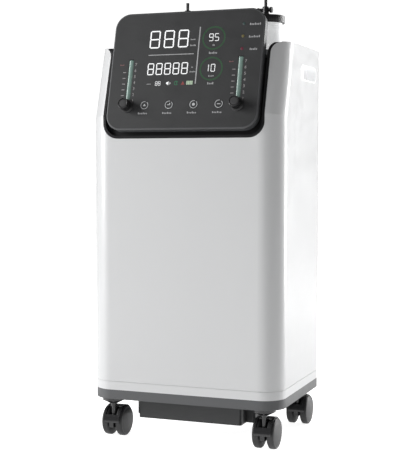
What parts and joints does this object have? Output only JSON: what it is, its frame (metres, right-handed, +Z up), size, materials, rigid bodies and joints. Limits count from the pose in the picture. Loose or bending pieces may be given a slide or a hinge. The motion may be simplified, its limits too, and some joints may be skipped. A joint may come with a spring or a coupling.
{
  "type": "oxygen concentrator",
  "caption": "Floor-standing oxygen concentrator with a sloping console, flow meters with knobs, humidifier bottles behind it, and twin-wheel swivel casters.",
  "frame": {"origin": "centre of the bounding box, on the floor under the casters", "axes": "+Z up, the console faces -Y, +X to the right seen from the front"},
  "size_m": [0.38, 0.3207, 0.857],
  "materials": {
    "shell_white": "satin moulded ABS",
    "skirt_white": "satin moulded ABS",
    "base_grey": "fine-grained moulding",
    "cradle_black": "satin moulding",
    "console_grey": "matt film over moulding",
    "console_back_grey": "fine-grained moulding",
    "key_grey": "matt film",
    "well_grey": "fine-grained moulding",
    "board_green": "solder-masked circuit board",
    "led_lens": "lit lens",
    "meter_block": "clear acrylic block",
    "meter_tube": "clear moulded tube",
    "float_black": "polished ball",
    "knob_black": "satin moulding",
    "bottle_clear": "clear polypropylene",
    "lid_grey": "ribbed moulding",
    "fitting_black": "glossy moulding",
    "diffuser_white": "sintered plastic",
    "port_brass": "turned",
    "duct_grey": "fine-grained moulding",
    "cover_grey": "satin moulding",
    "foam_grey": "open-cell foam",
    "panel_black": "satin moulding",
    "inlet_black": "moulded",
    "rocker_red": "polished moulding",
    "breaker_white": "polished moulding",
    "box_steel": "foam-lined sheet steel",
    "lid_steel": "sheet",
    "compressor_alloy": "die-cast",
    "mount_rubber": "moulded",
    "fan_black": "moulded",
    "bed_alloy": "drawn tube",
    "tank_white": "enamel",
    "manifold_alloy": "machined",
    "hood_black": "glossy nylon",
    "wheel_black": "polyurethane tread"
  },
  "bodies": {
    "cabinet": {"base_plate": "base_grey", "caster_sockets": "hood_black", "lower_skirt": "skirt_white", "front_shell": "shell_white", "rear_shell": "shell_white", "handle_cups": "skirt_white", "cradle": "cradle_black", "bottle_well": "well_grey", "console_back": "console_back_grey", "console_face": "console_grey", "display_board": "board_green", "status_leds": "led_lens", "flowmeter_blocks": "meter_block", "flow_tubes": "meter_tube", "oxygen_ports": "port_brass", "exhaust_duct": "duct_grey", "power_panel": "panel_black", "inlet_socket": "inlet_black", "sound_box": "box_steel", "bay_lid": "lid_steel", "compressor": "compressor_alloy", "compressor_mounts": "mount_rubber", "fan_frame": "fan_black", "sieve_beds": "bed_alloy", "oxygen_tank": "tank_white", "valve_manifold": "manifold_alloy", "control_board": "board_green"},
    "knob_left_body": {"flow_knob_left": "knob_black"},
    "knob_right_body": {"flow_knob_right": "knob_black"},
    "float_left_body": {"float_left": "float_black"},
    "float_right_body": {"float_right": "float_black"},
    "bottle_left_body": {"bottle_left": "bottle_clear"},
    "bottle_right_body": {"bottle_right": "bottle_clear"},
    "lid_left_body": {"lid_left": "lid_grey", "outlet_fitting_left": "fitting_black", "diffuser_left": "diffuser_white"},
    "lid_right_body": {"lid_right": "lid_grey", "outlet_fitting_right": "fitting_black", "diffuser_right": "diffuser_white"},
    "filter_door": {"filter_cover": "cover_grey", "filter_foam": "foam_grey"},
    "rocker_body": {"power_rocker": "rocker_red"},
    "breaker_body": {"breaker_button": "breaker_white"},
    "fan_body": {"fan_rotor": "fan_black"},
    "key_1_body": {"key_1": "key_grey"},
    "key_2_body": {"key_2": "key_grey"},
    "key_3_body": {"key_3": "key_grey"},
    "key_4_body": {"key_4": "key_grey"},
    "swivel_fl": {"hood_fl": "hood_black"},
    "roller_fl_l": {"wheel_fl_l": "wheel_black"},
    "roller_fl_r": {"wheel_fl_r": "wheel_black"},
    "swivel_fr": {"hood_fr": "hood_black"},
    "roller_fr_l": {"wheel_fr_l": "wheel_black"},
    "roller_fr_r": {"wheel_fr_r": "wheel_black"},
    "swivel_rl": {"hood_rl": "hood_black"},
    "roller_rl_l": {"wheel_rl_l": "wheel_black"},
    "roller_rl_r": {"wheel_rl_r": "wheel_black"},
    "swivel_rr": {"hood_rr": "hood_black"},
    "roller_rr_l": {"wheel_rr_l": "wheel_black"},
    "roller_rr_r": {"wheel_rr_r": "wheel_black"}
  },
  "joints": [
    {"name": "swivel_fl_turn", "type": "hinge", "parent": "cabinet", "child": "swivel_fl", "pos_m": [-0.1526, -0.10869, 0.079], "axis": [0, 0, 1], "continuous": true},
    {"name": "wheel_fl_l_spin", "type": "hinge", "parent": "swivel_fl", "child": "roller_fl_l", "pos_m": [-0.1526, -0.09169, 0.029], "axis": [1, 0, 0], "continuous": true},
    {"name": "wheel_fl_r_spin", "type": "hinge", "parent": "swivel_fl", "child": "roller_fl_r", "pos_m": [-0.1526, -0.09169, 0.029], "axis": [1, 0, 0], "continuous": true},
    {"name": "swivel_fr_turn", "type": "hinge", "parent": "cabinet", "child": "swivel_fr", "pos_m": [0.1526, -0.10869, 0.079], "axis": [0, 0, 1], "continuous": true},
    {"name": "wheel_fr_l_spin", "type": "hinge", "parent": "swivel_fr", "child": "roller_fr_l", "pos_m": [0.1526, -0.09169, 0.029], "axis": [1, 0, 0], "continuous": true},
    {"name": "wheel_fr_r_spin", "type": "hinge", "parent": "swivel_fr", "child": "roller_fr_r", "pos_m": [0.1526, -0.09169, 0.029], "axis": [1, 0, 0], "continuous": true},
    {"name": "swivel_rl_turn", "type": "hinge", "parent": "cabinet", "child": "swivel_rl", "pos_m": [-0.1526, 0.11231, 0.079], "axis": [0, 0, 1], "continuous": true},
    {"name": "wheel_rl_l_spin", "type": "hinge", "parent": "swivel_rl", "child": "roller_rl_l", "pos_m": [-0.1526, 0.12931, 0.029], "axis": [1, 0, 0], "continuous": true},
    {"name": "wheel_rl_r_spin", "type": "hinge", "parent": "swivel_rl", "child": "roller_rl_r", "pos_m": [-0.1526, 0.12931, 0.029], "axis": [1, 0, 0], "continuous": true},
    {"name": "swivel_rr_turn", "type": "hinge", "parent": "cabinet", "child": "swivel_rr", "pos_m": [0.1526, 0.11231, 0.079], "axis": [0, 0, 1], "continuous": true},
    {"name": "wheel_rr_l_spin", "type": "hinge", "parent": "swivel_rr", "child": "roller_rr_l", "pos_m": [0.1526, 0.12931, 0.029], "axis": [1, 0, 0], "continuous": true},
    {"name": "wheel_rr_r_spin", "type": "hinge", "parent": "swivel_rr", "child": "roller_rr_r", "pos_m": [0.1526, 0.12931, 0.029], "axis": [1, 0, 0], "continuous": true},
    {"name": "knob_left_turn", "type": "hinge", "parent": "cabinet", "child": "knob_left_body", "pos_m": [-0.109, -0.14794, 0.63754], "axis": [0, -0.9686, 0.2487], "range_deg": [0, 1080]},
    {"name": "float_left_rise", "type": "slide", "parent": "cabinet", "child": "float_left_body", "axis": [0, 0.2487, 0.9686], "range_m": [0, 0.07]},
    {"name": "bottle_left_lift", "type": "slide", "parent": "cabinet", "child": "bottle_left_body", "axis": [0, 0, 1], "range_m": [0, 0.22]},
    {"name": "lid_left_turn", "type": "hinge", "parent": "bottle_left_body", "child": "lid_left_body", "pos_m": [-0.084, 0.10831, 0.815], "axis": [0, 0, 1], "range_deg": [0, 540]},
    {"name": "knob_right_turn", "type": "hinge", "parent": "cabinet", "child": "knob_right_body", "pos_m": [0.109, -0.14794, 0.63754], "axis": [0, -0.9686, 0.2487], "range_deg": [0, 1080]},
    {"name": "float_right_rise", "type": "slide", "parent": "cabinet", "child": "float_right_body", "axis": [0, 0.2487, 0.9686], "range_m": [0, 0.07]},
    {"name": "bottle_right_lift", "type": "slide", "parent": "cabinet", "child": "bottle_right_body", "axis": [0, 0, 1], "range_m": [0, 0.22]},
    {"name": "lid_right_turn", "type": "hinge", "parent": "bottle_right_body", "child": "lid_right_body", "pos_m": [0.084, 0.10831, 0.815], "axis": [0, 0, 1], "range_deg": [0, 540]},
    {"name": "key_1_press", "type": "slide", "parent": "cabinet", "child": "key_1_body", "axis": [0, 0.9686, -0.2487], "range_m": [0, 0.0008], "stiffness_N_per_m": 1000},
    {"name": "key_2_press", "type": "slide", "parent": "cabinet", "child": "key_2_body", "axis": [0, 0.9686, -0.2487], "range_m": [0, 0.0008], "stiffness_N_per_m": 1000},
    {"name": "key_3_press", "type": "slide", "parent": "cabinet", "child": "key_3_body", "axis": [0, 0.9686, -0.2487], "range_m": [0, 0.0008], "stiffness_N_per_m": 1000},
    {"name": "key_4_press", "type": "slide", "parent": "cabinet", "child": "key_4_body", "axis": [0, 0.9686, -0.2487], "range_m": [0, 0.0008], "stiffness_N_per_m": 1000},
    {"name": "filter_door_pull", "type": "slide", "parent": "cabinet", "child": "filter_door", "axis": [0, 1, 0], "range_m": [0, 0.08]},
    {"name": "rocker_tilt", "type": "hinge", "parent": "cabinet", "child": "rocker_body", "pos_m": [-0.077, 0.14631, 0.19], "axis": [1, 0, 0], "range_deg": [0, 16]},
    {"name": "breaker_press", "type": "slide", "parent": "cabinet", "child": "breaker_body", "axis": [0, -1, 0], "range_m": [0, 0.0025], "stiffness_N_per_m": 800},
    {"name": "fan_spin", "type": "hinge", "parent": "cabinet", "child": "fan_body", "pos_m": [0, -0.04169, 0.35], "axis": [0, 0, 1], "continuous": true}
  ],
  "couplings": [
    {"joint": "float_left_rise", "follows": "knob_left_turn", "m_per_rad": 0.0037},
    {"joint": "float_right_rise", "follows": "knob_right_turn", "m_per_rad": 0.0037}
  ]
}
